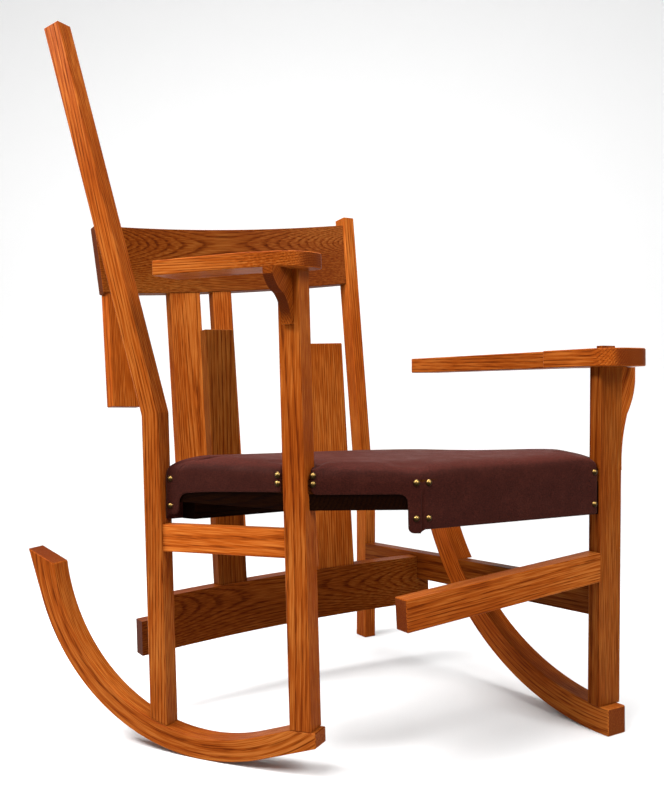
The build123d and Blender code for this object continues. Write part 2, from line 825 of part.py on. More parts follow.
# Seat rails: full thickness behind the front, rear and far aprons, set in along the near side
skin = cover_thick
behind = cover_thick + rail_thick
near_behind = near_rail_inset + rail_thick
skin_corners = inset_outline(skin, skin, skin, skin, skin)
frame_corners = inset_outline(behind, near_behind, near_behind, behind, behind)
near_start = inset_outline(behind, near_rail_inset, near_rail_inset, skin, skin)
near_run_out = inset_outline(skin, near_rail_inset, near_rail_inset, -rail_thick, skin)
near_run_in = inset_outline(skin, near_behind, near_behind, -rail_thick, skin)
rear_start = inset_outline(skin, near_behind, near_behind, skin, skin)
far_start = inset_outline(skin, skin, skin, behind, skin)
seat_rails = {
    "front_seat_rail": (
        [skin_corners[0], near_run_out[1], frame_corners[1], frame_corners[0]],
        [front_rail_shoulder],
    ),
    "near_front_seat_rail": (
        [near_run_out[1], near_start[2], frame_corners[2], frame_corners[1]],
        [],
    ),
    "near_seat_rail": (
        [near_start[2], near_run_out[3], near_run_in[3], frame_corners[2]],
        [near_rail_front, near_rail_rear],
    ),
    "rear_seat_rail": (
        [rear_start[3], skin_corners[4], frame_corners[4], frame_corners[3]],
        [],
    ),
    "far_seat_rail": (
        [far_start[4], skin_corners[0], frame_corners[0], frame_corners[4]],
        [far_rail_shoulder],
    ),
}
for name, (corners, shoulders) in seat_rails.items():
    height = near_rail_height if name.startswith("near") else rail_height
    with BuildPart() as seat_rail:
        plan_solid(corners, board_bottom - height, height)
        clear_posts(0)
        for shoulder in shoulders:
            split(bisect_by=shoulder, keep=Keep.BOTTOM)
        for shoulder in shoulders:
            add_tenon(shoulder, *seat_rail_tenon, seat_rail_tenon_depth)
    write(seat_rail, name)

# Corner blocks inside the seat frame, each screwed up into the seat board
block_bottom = board_bottom - block_thick
corner_blocks = {"front_corner_block": 1, "near_rear_corner_block": 3, "far_rear_corner_block": 4}
screw_spots = []
for name, i in corner_blocks.items():
    corner = frame_corners[i]
    to_next = (frame_corners[(i + 1) % len(frame_corners)] - corner).normalized()
    to_last = (frame_corners[i - 1] - corner).normalized()
    triangle = [corner, corner + to_next * block_leg, corner + to_last * block_leg]
    middle = corner + (to_next + to_last) * (block_leg / 4)
    screw_spots.append((middle.X, middle.Y, block_bottom))
    with BuildPart() as corner_block:
        plan_solid(triangle, block_bottom, block_thick)
        with Locations(screw_spots[-1]):
            Cylinder(
                screw_head / 2 + fit,
                screw_head_thick + fit,
                align=(Align.CENTER, Align.CENTER, Align.MIN),
                mode=Mode.SUBTRACT,
            )
            Cylinder(screw_shank / 2 + fit, 3 * block_thick, mode=Mode.SUBTRACT)
    write(corner_block, name)

with BuildPart() as board_screws:
    with Locations(*screw_spots):
        Cylinder(screw_head / 2, screw_head_thick, align=(Align.CENTER, Align.CENTER, Align.MIN))
        Cylinder(screw_shank / 2, block_thick + screw_bite, align=(Align.CENTER, Align.CENTER, Align.MIN))
write(board_screws, "board_screws")

# Seat board on the rails, notched round the posts
with BuildPart() as seat_board:
    plan_solid(skin_corners, board_bottom, board_thick)
    clear_posts(fit)
    with Locations(*screw_spots):
        Cylinder(
            screw_shank / 2 + fit,
            block_thick + screw_bite + fit,
            align=(Align.CENTER, Align.CENTER, Align.MIN),
            mode=Mode.SUBTRACT,
        )
write(seat_board, "seat_board")

# Padded seat: upright sides drawn in a little between the corners, then a low crown
cushion_edge = cover_thick + cushion_gap
cushion_rise = seat_crown - seat_edge_top
cushion_sections = [
    (board_top, cushion_edge),
    (seat_edge_top, cushion_edge),
]
for rise, reach in crown_steps:
    cushion_sections.append((seat_edge_top + rise * cushion_rise, cushion_edge + reach * crown_reach))
with BuildPart() as seat_cushion:
    for level, inset in cushion_sections:
        corners = inset_outline(inset, inset, inset, inset, inset)
        with BuildSketch(Plane.XY.offset(level)):
            with BuildLine():
                for i, start in enumerate(corners):
                    end = corners[(i + 1) % len(corners)]
                    along = (end - start).normalized()
                    drawn_in = (start + end) * 0.5 + Vector(along.Y, -along.X) * cushion_draw
                    ThreePointArc((start.X, start.Y), (drawn_in.X, drawn_in.Y), (end.X, end.Y))
            make_face()
    loft(ruled=True)
    clear_posts(cushion_post_gap)
write(seat_cushion, "seat_cushion")


# Brass nails along the cover's edges, as seat edge, distance along it and height, in pairs below the seat's edge
def nail_pairs():
    front_length = seat_edge(0)[2]
    near_front_length = seat_edge(1)[2]
    near_length = seat_edge(2)[2]
    past_post = near_front_size / 2 + nail_edge
    columns = [
        (0, seat_far_x - far_front_near_face + nail_edge, nail_high_drop, nail_low_drop),
        (0, front_length - nail_edge, nail_high_drop, nail_low_drop),
        (1, nail_edge, nail_high_drop, nail_low_drop),
        (1, near_front_length - past_post, nail_post_high_drop, nail_post_low_drop),
        (2, past_post, nail_post_high_drop, nail_post_low_drop),
        (2, near_length - nail_edge, nail_rear_high_drop, nail_rear_low_drop),
    ]
    for edge, along, high, low in columns:
        yield edge, along, seat_edge_top - high
        yield edge, along, seat_edge_top - low


def nail_plane(edge, along, height):
    start, direction, length = seat_edge(edge)
    spot = start + direction * along
    return Plane(
        origin=(spot.X, spot.Y, height),
        x_dir=direction,
        z_dir=Vector(-direction.Y, direction.X),
    )


with BuildPart() as nail:
    dome_radius = (nail_head**2 / 4 + nail_dome**2) / (2 * nail_dome)
    with Locations((0, 0, nail_dome - dome_radius)):
        Sphere(dome_radius)
    split(bisect_by=Plane.XY, keep=Keep.TOP)
    Cylinder(nail_shank / 2, cover_thick, align=(Align.CENTER, Align.CENTER, Align.MAX))
with BuildPart() as brass_nails:
    with Locations(*[nail_plane(*spot) for spot in nail_pairs()]):
        add(nail.part)
write(brass_nails, "brass_nails")


# Aprons: the cover's cloth down each side of the seat, cut up along the near side between its lobes
def cut_hem(edge, begin, end):
    start, along, length = seat_edge(edge)
    height = seat_near_hem - seat_hem + 4 * lobe_corner
    plane = Plane(
        origin=(start.X, start.Y, seat_near_hem - height / 2),
        x_dir=along,
        z_dir=Vector(along.Y, -along.X),
    )
    with BuildSketch(plane) as hem:
        with Locations(((begin + end) / 2, 0)):
            RectangleRounded(end - begin, height, lobe_corner)
    extrude(hem.sketch, amount=3 * cover_thick, both=True, mode=Mode.SUBTRACT)


def cut_nail_holes():
    with Locations(*[nail_plane(*spot) for spot in nail_pairs()]):
        Cylinder(nail_shank / 2 + fit, 4 * cover_thick, mode=Mode.SUBTRACT)


apron_height = seat_edge_top - seat_hem
apron_turn = inset_outline(0, 0, skin, 0, 0)
rear_turn = inset_outline(0, 0, near_behind, 0, 0)
with BuildPart() as front_apron:
    plan_solid([*seat_outline[0:3], *reversed(skin_corners[0:3])], seat_hem, apron_height)
    clear_posts(fit)
    cut_hem(1, front_lobe, seat_edge(1)[2] + near_front_size)
    cut_nail_holes()
write(front_apron, "front_apron")

with BuildPart() as near_apron:
    near_plan = [*seat_outline[2:4], apron_turn[3], skin_corners[2]]
    plan_solid(near_plan, near_lobe_hem, seat_edge_top - near_lobe_hem)
    clear_posts(fit)
    cut_hem(2, -near_front_size, seat_edge(2)[2] - rear_lobe)
    cut_nail_holes()
write(near_apron, "near_apron")

with BuildPart() as rear_apron:
    plan_solid(
        [rear_turn[3], seat_outline[4], seat_outline[0], skin_corners[0], skin_corners[4], rear_start[3]],
        seat_hem,
        apron_height,
    )
    clear_posts(fit)
write(rear_apron, "rear_apron")
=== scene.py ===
from math import cos, pi, radians, sin, sqrt, tan

import bpy
from mathutils import Matrix, Vector


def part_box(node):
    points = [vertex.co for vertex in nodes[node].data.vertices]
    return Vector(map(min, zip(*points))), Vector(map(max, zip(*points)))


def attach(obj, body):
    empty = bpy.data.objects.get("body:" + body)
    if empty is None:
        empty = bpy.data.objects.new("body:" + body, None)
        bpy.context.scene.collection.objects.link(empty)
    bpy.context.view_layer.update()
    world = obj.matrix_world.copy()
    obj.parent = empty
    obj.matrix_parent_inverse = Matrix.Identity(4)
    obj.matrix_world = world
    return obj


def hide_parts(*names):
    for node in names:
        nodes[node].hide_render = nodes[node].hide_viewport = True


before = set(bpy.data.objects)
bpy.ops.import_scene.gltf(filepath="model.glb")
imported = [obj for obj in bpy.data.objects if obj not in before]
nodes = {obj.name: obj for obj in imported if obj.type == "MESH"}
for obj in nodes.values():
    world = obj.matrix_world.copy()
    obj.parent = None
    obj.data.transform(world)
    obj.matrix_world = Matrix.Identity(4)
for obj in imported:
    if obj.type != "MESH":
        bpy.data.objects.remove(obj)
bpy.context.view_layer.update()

scene = bpy.context.scene
scene.view_settings.view_transform = "Standard"
bpy.ops.object.select_all(action="DESELECT")

# the near side frame is turned in plan, the far one is square to the axes
nearTurn = radians(32.5)
nearBack = Vector((-sin(nearTurn), cos(nearTurn), 0))
nearIn = Vector((cos(nearTurn), sin(nearTurn), 0))
right = Vector((1, 0, 0))
back = Vector((0, 1, 0))
up = Vector((0, 0, 1))


def addNode(tree, kind, at, **values):
    node = tree.nodes.new(kind)
    node.location = (at[0] * 200, at[1] * 180)
    for name, value in values.items():
        setattr(node, name, value)
    return node


def feed(tree, socket, source):
    if hasattr(source, "is_output"):
        tree.links.new(source, socket)
    else:
        socket.default_value = source


def feedAll(tree, node, sources):
    for socket, source in zip(node.inputs, sources):
        feed(tree, socket, source)


def maths(tree, at, operation, *sources):
    node = addNode(tree, "ShaderNodeMath", at, operation=operation)
    feedAll(tree, node, sources)
    return node.outputs[0]


def vectorMaths(tree, at, operation, *sources):
    node = addNode(tree, "ShaderNodeVectorMath", at, operation=operation)
    feedAll(tree, node, sources)
    return node.outputs["Value" if operation in ("LENGTH", "DISTANCE", "DOT_PRODUCT") else "Vector"]


def scaled(tree, at, vector, factor):
    scale = vectorMaths(tree, at, "SCALE", vector)
    tree.links.new(factor, scale.node.inputs["Scale"])
    return scale


def fade(tree, at, source, low, high, bottom=0.0, top=1.0):
    node = addNode(tree, "ShaderNodeMapRange", at, interpolation_type="SMOOTHSTEP")
    feedAll(tree, node, (source, low, high, bottom, top))
    return node.outputs["Result"]


def noise(tree, at, vector, scale, detail=2.0):
    stretched = vectorMaths(tree, at, "MULTIPLY", vector, scale)
    node = addNode(tree, "ShaderNodeTexNoise", (at[0] + 1, at[1]))
    feed(tree, node.inputs["Vector"], stretched)
    node.inputs["Scale"].default_value = 1.0
    node.inputs["Detail"].default_value = detail
    return node


def mixColor(tree, at, factor, first, second):
    node = addNode(tree, "ShaderNodeMix", at, data_type="RGBA")
    feed(tree, node.inputs["Factor"], factor)
    feed(tree, node.inputs["A"], first)
    feed(tree, node.inputs["B"], second)
    return node.outputs["Result"]


def ramp(tree, at, source, stops):
    node = addNode(tree, "ShaderNodeValToRGB", at)
    elements = node.color_ramp.elements
    elements[0].position, elements[0].color = stops[0]
    elements[1].position, elements[1].color = stops[-1]
    for position, color in stops[1:-1]:
        elements.new(position).color = color
    tree.links.new(source, node.inputs["Fac"])
    return node.outputs["Color"]


def parts(tree, at, vector):
    node = addNode(tree, "ShaderNodeSeparateXYZ", at)
    tree.links.new(vector, node.inputs[0])
    return node.outputs


def joined(tree, at, *sources):
    node = addNode(tree, "ShaderNodeCombineXYZ", at)
    feedAll(tree, node, sources)
    return node.outputs[0]


def bumpNormal(tree, at, height, strength, distance):
    node = addNode(tree, "ShaderNodeBump", at)
    node.inputs["Strength"].default_value = strength
    node.inputs["Distance"].default_value = distance
    tree.links.new(height, node.inputs["Height"])
    return node.outputs["Normal"]


def shownRays(tree, at):
    # the rays that see the background: straight, in metal or through glass
    rays = addNode(tree, "ShaderNodeLightPath", at).outputs
    seen = maths(tree, (at[0] + 1, at[1]), "MAXIMUM", rays["Is Camera Ray"], rays["Is Glossy Ray"])
    return maths(tree, (at[0] + 2, at[1]), "MAXIMUM", seen, rays["Is Transmission Ray"])


def newMaterial(name):
    material = bpy.data.materials.new(name)
    material.use_nodes = True
    return material, material.node_tree, material.node_tree.nodes["Principled BSDF"]


def newGroup(name, inputs, outputs):
    tree = bpy.data.node_groups.new(name, "ShaderNodeTree")
    for label, kind, value in inputs:
        socket = tree.interface.new_socket(name=label, in_out="INPUT", socket_type=kind)
        socket.default_value = value
    for label, kind in outputs:
        tree.interface.new_socket(name=label, in_out="OUTPUT", socket_type=kind)
    start = addNode(tree, "NodeGroupInput", (-6, 0))
    end = addNode(tree, "NodeGroupOutput", (12, 0))
    return tree, start.outputs, end.inputs


def linear(red, green, blue):
    channels = [c / 255 for c in (red, green, blue)]
    return [c / 12.92 if c <= 0.04045 else ((c + 0.055) / 1.055) ** 2.4 for c in channels] + [1.0]


# camera at the photograph's place: low, a little above the seat, and pitched slightly down
view = {"eye": (-1.103, -1.603, 0.530), "turn": radians(-32.5), "pitch": radians(88.5), "lens": 43.2}
bpy.ops.object.camera_add(location=view["eye"], rotation=(view["pitch"], 0, view["turn"]))
camera = bpy.context.object
camera.data.lens = view["lens"]
camera.data.sensor_width = 36
camera.data.sensor_fit = "AUTO"
scene.camera = camera
print("camera set")

# white sweep: a pale floor that curves up behind, and broad soft lamps
sweep = {
    "near": -3.2, "bend": 3.4, "half": 7.0, "height": 5.0, "round": 1.4,
    "color": (0.7, 0.7, 0.7, 1), "chair": (-0.3, -0.3, 0.0), "lift": (0.6, 3.2, 0.03, 0.47),
}
bpy.ops.mesh.primitive_plane_add(size=1)
floor = bpy.context.object
floor.name = "floor"
bpy.ops.object.mode_set(mode="EDIT")
bpy.ops.transform.resize(value=(2 * sweep["half"], sweep["bend"] - sweep["near"], 1))
bpy.ops.transform.translate(value=(0, (sweep["bend"] + sweep["near"]) / 2, 0))
bpy.ops.mesh.select_mode(type="EDGE")
bpy.ops.mesh.select_all(action="DESELECT")
bpy.ops.object.mode_set(mode="OBJECT")
for edge in floor.data.edges:
    ends = [floor.data.vertices[i].co for i in edge.vertices]
    edge.select = all(co.y > 0 for co in ends)
bpy.ops.object.mode_set(mode="EDIT")
bpy.ops.mesh.extrude_region_move(TRANSFORM_OT_translate={"value": (0, 0, sweep["height"])})
bpy.ops.object.mode_set(mode="OBJECT")
bend = floor.modifiers.new("bend", "BEVEL")
bend.limit_method = "ANGLE"
bend.width = sweep["round"]
bend.segments = 24
bpy.ops.object.modifier_apply(modifier="bend")
bpy.ops.object.shade_smooth()
# the sweep follows the camera's turn, so that its wall stands square behind the chair
floor.data.transform(Matrix.Rotation(view["turn"], 4, "Z"))

paper, paperTree, paperShader = newMaterial("studioPaper")
paperShader.inputs["Base Color"].default_value = sweep["color"]
paperShader.inputs["Roughness"].default_value = 0.9
paperShader.inputs["Specular IOR Level"].default_value = 0.1
paperShader.inputs["Emission Color"].default_value = (1, 1, 1, 1)
# the paper is lifted towards white where it is seen as background, more so away from the chair
paperPlace = addNode(paperTree, "ShaderNodeTexCoord", (-6, -2))
fromChair = vectorMaths(paperTree, (-5, -2), "DISTANCE", paperPlace.outputs["Object"], sweep["chair"])
lift = fade(paperTree, (-4, -2), fromChair, *sweep["lift"])
glow = maths(paperTree, (-2, -2), "MULTIPLY", lift, shownRays(paperTree, (-5, -3)))
paperTree.links.new(glow, paperShader.inputs["Emission Strength"])
floor.data.materials.append(paper)

# the white world lights the chair only faintly
sky = {"light": 0.12, "shown": 0.985}
world = bpy.data.worlds.new("studio")
world.use_nodes = True
worldTree = world.node_tree
background = worldTree.nodes["Background"]
background.inputs["Color"].default_value = (1, 1, 1, 1)
skyStrength = fade(worldTree, (-1, 0), shownRays(worldTree, (-4, 0)), 0.0, 1.0, sky["light"], sky["shown"])
worldTree.links.new(skyStrength, background.inputs["Strength"])
scene.world = world

lamps = {
    "keyLamp": {"at": (-1.65, -1.0, 1.85), "aim": (-0.6, -0.25, 0.8), "size": 0.9, "power": 35},
    "topLamp": {"at": (-0.4, -0.2, 2.8), "aim": (-0.3, -0.3, 0.3), "size": 2.0, "power": 92},
    "sideLamp": {"at": (-1.7, 0.1, 1.6), "aim": (-0.7, 0.05, 0.95), "size": 0.5, "power": 44},
    "fillLamp": {"at": (0.1, -2.2, 1.9), "aim": (-0.2, -0.5, 0.4), "size": 1.2, "power": 58},
}
for name, lamp in lamps.items():
    bpy.ops.object.light_add(type="AREA", location=lamp["at"])
    light = bpy.context.object
    light.name = name
    ray = Vector(lamp["aim"]) - Vector(lamp["at"])
    light.rotation_euler = ray.to_track_quat("-Z", "Y").to_euler()
    light.data.size = lamp["size"]
    light.data.energy = lamp["power"]
    light.visible_camera = False
print("floor and lamps set")

# oak figure in a member's own axes: x across, y through, z along the grain
oak = {
    "pale": linear(166, 96, 38), "mid": linear(136, 63, 15), "dark": linear(100, 38, 5),
    "pore": linear(72, 24, 3), "end": linear(70, 24, 7), "midDepth": 0.48,
    "seedStep": (1.7, 2.3, 0.9), "noiseMean": (0.5, 0.5, 0.5),
    "wanderScale": (11, 11, 1.3), "wander": (0.016, 0.016, 0),
    "rippleScale": (70, 70, 4.5), "ripple": (0.0018, 0.0018, 0),
    "poreScale": (760, 760, 32), "fibreScale": (700, 700, 20), "cloudScale": (9, 9, 3),
    # how porous the wood is through one year's growth
    "growth": ((0.0, 0.2), (0.12, 1.0), (0.26, 0.75), (0.45, 0.2), (0.85, 0.05), (1.0, 0.2)),
    "poreShare": (0.15, 0.85, 0.12, 0.7), "ringDepth": (0.34, 0.36), "fibreDepth": 0.24, "cloudDepth": 0.2,
    "endFace": (0.7, 0.92, 0.0, 0.72), "roughness": (0.25, 0.36),
}
oakTree, given, result = newGroup(
    "oakFigure",
    [
        ("Vector", "NodeSocketVector", (0, 0, 0)), ("Normal", "NodeSocketVector", (0, 0, 0)),
        ("Heart", "NodeSocketVector", (0.05, 0.09, 0)), ("Ring", "NodeSocketFloat", 0.006),
        ("Seed", "NodeSocketFloat", 0.0), ("ToneAndShade", "NodeSocketFloat", 1.0),
    ],
    [("Color", "NodeSocketColor"), ("Roughness", "NodeSocketFloat"), ("Height", "NodeSocketFloat")],
)
shift = scaled(oakTree, (-5, -2), oak["seedStep"], given["Seed"])
spot = vectorMaths(oakTree, (-4, -2), "ADD", given["Vector"], shift)


def warp(row, scale, detail, amount):
    color = noise(oakTree, (-3, row), spot, scale, detail).outputs["Color"]
    bias = vectorMaths(oakTree, (-1, row), "SUBTRACT", color, oak["noiseMean"])
    return vectorMaths(oakTree, (0, row), "MULTIPLY", bias, amount)


# growth rings about the heart, bent by a slow wander and a fine ripple
wander = warp(2, oak["wanderScale"], 1.5, oak["wander"])
ripple = warp(3, oak["rippleScale"], 2.0, oak["ripple"])
fromHeart = vectorMaths(oakTree, (1, 2), "SUBTRACT", given["Vector"], given["Heart"])
moved = vectorMaths(oakTree, (2, 2), "ADD", fromHeart, wander)
movedFine = vectorMaths(oakTree, (3, 2), "ADD", moved, ripple)
flat = vectorMaths(oakTree, (4, 2), "MULTIPLY", movedFine, (1, 1, 0))
radius = vectorMaths(oakTree, (5, 2), "LENGTH", flat)
phase = maths(oakTree, (7, 2), "FRACT", maths(oakTree, (6, 2), "DIVIDE", radius, given["Ring"]))
early = ramp(oakTree, (8, 2), phase, [(place, (value, value, value, 1)) for place, value in oak["growth"]])

poreNoise = noise(oakTree, (-3, 0), spot, oak["poreScale"], 1.0)
pores = fade(oakTree, (0, 0), poreNoise.outputs["Fac"], 0.42, 0.62)
poreShare = fade(oakTree, (1, 0), early, *oak["poreShare"])
poreMask = maths(oakTree, (2, 0), "MULTIPLY", pores, poreShare)
fibre = noise(oakTree, (-3, -1), spot, oak["fibreScale"], 2.0)
cloud = noise(oakTree, (-3, -3), spot, oak["cloudScale"], 2.0)
# growth lines, fibre and cloud together say how deep the stain went
ringDepth = maths(oakTree, (3, 1), "MULTIPLY_ADD", early, *oak["ringDepth"])
fibreDepth = fade(oakTree, (0, -1), fibre.outputs["Fac"], 0.3, 0.7, -oak["fibreDepth"], oak["fibreDepth"])
cloudDepth = fade(oakTree, (0, -3), cloud.outputs["Fac"], 0.3, 0.7, -oak["cloudDepth"], oak["cloudDepth"])
depthSum = maths(oakTree, (4, 0), "ADD", ringDepth, fibreDepth)
depth = maths(oakTree, (4, -1), "ADD", depthSum, cloudDepth)
stain = ramp(oakTree, (5, 0), depth, [(0.0, oak["pale"]), (oak["midDepth"], oak["mid"]), (1.0, oak["dark"])])
poreColor = mixColor(oakTree, (6, 0), poreMask, stain, oak["pore"])
# a cut end drinks more stain
endward = maths(oakTree, (6, -4), "ABSOLUTE", parts(oakTree, (5, -4), given["Normal"])["Z"])
endFace = fade(oakTree, (7, -4), endward, *oak["endFace"])
woodColor = mixColor(oakTree, (9, 0), endFace, poreColor, oak["end"])
oakTree.links.new(scaled(oakTree, (10, 0), woodColor, given["ToneAndShade"]), result["Color"])
rough = maths(oakTree, (9, -1), "MULTIPLY_ADD", poreMask, *oak["roughness"])
oakTree.links.new(rough, result["Roughness"])
oakTree.links.new(maths(oakTree, (9, -2), "SUBTRACT", 1.0, poreMask), result["Height"])
print("oak figure made")

# a bent post's grain follows it past the bend, and a rocker's follows its arc
bentTree, given, result = newGroup(
    "bentGrain",
    [
        ("Vector", "NodeSocketVector", (0, 0, 0)), ("Bend", "NodeSocketFloat", 0.4),
        ("Slope", "NodeSocketFloat", 0.2),
    ],
    [("Vector", "NodeSocketVector")],
)
parted = parts(bentTree, (-5, 0), given["Vector"])
above = maths(bentTree, (-4, 0), "SUBTRACT", parted["Z"], given["Bend"])
past = maths(bentTree, (-3, 0), "MAXIMUM", above, 0.0)
lean = maths(bentTree, (-2, 0), "MULTIPLY", past, given["Slope"])
straight = maths(bentTree, (-1, 0), "SUBTRACT", parted["X"], lean)
bentTree.links.new(joined(bentTree, (0, 0), straight, parted["Y"], parted["Z"]), result["Vector"])

arcTree, given, result = newGroup(
    "arcGrain",
    [
        ("Vector", "NodeSocketVector", (0, 0, 0)), ("Normal", "NodeSocketVector", (0, 0, 0)),
        ("Radius", "NodeSocketFloat", 0.3),
    ],
    [("Vector", "NodeSocketVector"), ("Normal", "NodeSocketVector")],
)
parted = parts(arcTree, (-5, 1), given["Vector"])
below = maths(arcTree, (-4, 1), "MULTIPLY", parted["Z"], -1.0)
angle = maths(arcTree, (-3, 1), "ARCTAN2", parted["X"], below)
along = maths(arcTree, (-2, 1), "MULTIPLY", angle, given["Radius"])
inPlane = vectorMaths(arcTree, (-4, 2), "MULTIPLY", given["Vector"], (1, 0, 1))
outward = vectorMaths(arcTree, (-3, 2), "LENGTH", inPlane)
across = maths(arcTree, (-2, 2), "SUBTRACT", outward, given["Radius"])
arcTree.links.new(joined(arcTree, (0, 1), across, parted["Y"], along), result["Vector"])
cosine = maths(arcTree, (-2, -1), "COSINE", angle)
sine = maths(arcTree, (-2, -2), "SINE", angle)
tangent = joined(arcTree, (-1, -1), cosine, 0.0, sine)
endward = vectorMaths(arcTree, (0, -1), "DOT_PRODUCT", given["Normal"], tangent)
arcTree.links.new(joined(arcTree, (1, -1), 0.0, 0.0, endward), result["Normal"])


def leaning(sideways, degrees, base=up):
    return base * cos(radians(degrees)) + sideways * sin(radians(degrees))


upperLean, lowerLean = leaning(back, 7.6), leaning(back, 3.6)
# each oak member: the way its grain runs, the way its wide face runs, and where the tree's heart lay
members = {
    "near_front_post": {"along": up, "across": nearBack, "heart": (0.03, 0.11, 0), "seed": 1.0, "toneAndShade": 0.84},
    "near_rear_post": {
        "along": up, "across": nearBack, "heart": (0.02, -0.12, 0), "seed": 2.0, "toneAndShade": 0.8,
        "bend": (0.477, tan(radians(15.1))),
    },
    "near_rocker": {
        "along": up, "across": nearBack, "heart": (-0.02, 0.1, 0), "seed": 3.0, "toneAndShade": 0.88,
        "centre": (-0.539, -0.392, 0.293), "radius": 0.278,
    },
    "near_side_stretcher": {
        "along": nearBack, "across": up, "heart": (0.01, 0.07, 0), "seed": 4.0, "toneAndShade": 1.2,
    },
    "near_arm": {"along": nearBack, "across": nearIn, "heart": (0.02, 0.12, 0), "seed": 5.0, "toneAndShade": 0.84},
    # the near corbel is made darker partly for its wood and partly as painted shade under the arm
    "near_corbel": {
        "along": leaning(nearIn, 45), "across": nearIn, "heart": (0.06, 0.03, 0), "seed": 6.0, "toneAndShade": 0.62,
    },
    "far_front_post": {"along": up, "across": right, "heart": (0.12, 0.03, 0), "seed": 7.0, "toneAndShade": 0.6},
    "far_rear_post": {
        "along": up, "across": back, "heart": (0.02, 0.06, 0), "seed": 8.0,
        "bend": (0.25, tan(radians(7.6))),
    },
    "far_rocker": {
        "along": up, "across": back, "heart": (0.02, 0.06, 0), "seed": 9.0, "toneAndShade": 1.0,
        "centre": (0.004, -0.631, 0.45), "radius": 0.43,
    },
    # the far side stretcher is made darker partly for its wood and partly as painted shade under the seat
    "far_side_stretcher": {
        "along": leaning(up, -2.8, back), "across": up, "heart": (0.02, 0.06, 0), "seed": 10.0, "toneAndShade": 0.42,
    },
    "far_arm": {"along": back, "across": right, "heart": (0.05, 0.05, 0), "seed": 11.0, "toneAndShade": 0.92},
    "far_corbel": {"along": leaning(right, 22), "across": back, "heart": (0.01, 0.03, 0), "seed": 12.0},
    "front_stretcher": {
        "along": leaning(up, 4, right), "across": up, "heart": (0.015, 0.04, 0), "seed": 13.0, "toneAndShade": 0.86,
    },
    "crest_rail": {
        "along": leaning(up, 4.8, right), "across": up, "heart": (0.03, 0.035, 0), "seed": 14.0, "toneAndShade": 0.48,
    },
    # the lower back rail is made darker partly for its wood and partly as painted shade under the seat
    "lower_back_rail": {"along": right, "across": up, "heart": (0.01, 0.05, 0), "seed": 15.0, "toneAndShade": 0.55},
    "upper_slat_left": {"along": upperLean, "across": right, "heart": (0.03, 0.02, 0), "seed": 16.0},
    "upper_slat_middle": {"along": upperLean, "across": right, "heart": (0.01, 0.03, 0), "seed": 17.0},
    "upper_slat_right": {"along": upperLean, "across": right, "heart": (0.05, 0.06, 0), "seed": 18.0},
    # the left lower slat is made darker partly for its wood and partly as painted shade under the seat
    "lower_slat_left": {
        "along": lowerLean, "across": right, "heart": (0.02, 0.09, 0), "seed": 19.0, "toneAndShade": 0.4,
    },
    "lower_slat_right": {
        "along": lowerLean, "across": right, "heart": (0.1, 0.07, 0), "seed": 20.0, "toneAndShade": 0.88,
    },
}
finish = {"specular": 0.012, "bump": 0.3, "poreDepth": 0.0005, "ring": 0.0029}


def oakMaterial(name, member):
    material, tree, shader = newMaterial("oak_" + name)
    low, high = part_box(name)
    along = member["along"].normalized()
    through = along.cross(member["across"]).normalized()
    across = through.cross(along)
    toMember = Matrix((across, through, along))
    centre = Vector(member.get("centre", (low + high) / 2))
    if "bend" in member:
        centre.z = 0
    place = addNode(tree, "ShaderNodeTexCoord", (-6, 0))
    axes = addNode(tree, "ShaderNodeMapping", (-5, 0), vector_type="POINT")
    axes.inputs["Rotation"].default_value = toMember.to_euler()
    axes.inputs["Location"].default_value = -(toMember @ centre)
    tree.links.new(place.outputs["Object"], axes.inputs["Vector"])
    turn = addNode(tree, "ShaderNodeMapping", (-5, -2), vector_type="VECTOR")
    turn.inputs["Rotation"].default_value = toMember.to_euler()
    tree.links.new(place.outputs["Normal"], turn.inputs["Vector"])
    vector, normal = axes.outputs[0], turn.outputs[0]
    if "radius" in member:
        arc = addNode(tree, "ShaderNodeGroup", (-4, 0), node_tree=arcTree)
        arc.inputs["Radius"].default_value = member["radius"]
        tree.links.new(vector, arc.inputs["Vector"])
        tree.links.new(normal, arc.inputs["Normal"])
        vector, normal = arc.outputs["Vector"], arc.outputs["Normal"]
    if "bend" in member:
        bent = addNode(tree, "ShaderNodeGroup", (-4, 0), node_tree=bentTree)
        bent.inputs["Bend"].default_value, bent.inputs["Slope"].default_value = member["bend"]
        tree.links.new(vector, bent.inputs["Vector"])
        vector = bent.outputs["Vector"]
    figure = addNode(tree, "ShaderNodeGroup", (-3, 0), node_tree=oakTree)
    tree.links.new(vector, figure.inputs["Vector"])
    tree.links.new(normal, figure.inputs["Normal"])
    figure.inputs["Heart"].default_value = member["heart"]
    figure.inputs["Ring"].default_value = finish["ring"]
    figure.inputs["Seed"].default_value = member["seed"]
    figure.inputs["ToneAndShade"].default_value = member.get("toneAndShade", 1.0)
    tree.links.new(figure.outputs["Color"], shader.inputs["Base Color"])
    tree.links.new(figure.outputs["Roughness"], shader.inputs["Roughness"])
    shader.inputs["Specular IOR Level"].default_value = finish["specular"]
    normal = bumpNormal(tree, (-1, -2), figure.outputs["Height"], finish["bump"], finish["poreDepth"])
    tree.links.new(normal, shader.inputs["Normal"])
    return material


def dress(name, material):
    nodes[name].data.materials.clear()
    nodes[name].data.materials.append(material)


for name, member in members.items():
    dress(name, oakMaterial(name, member))
print("oak members dressed")

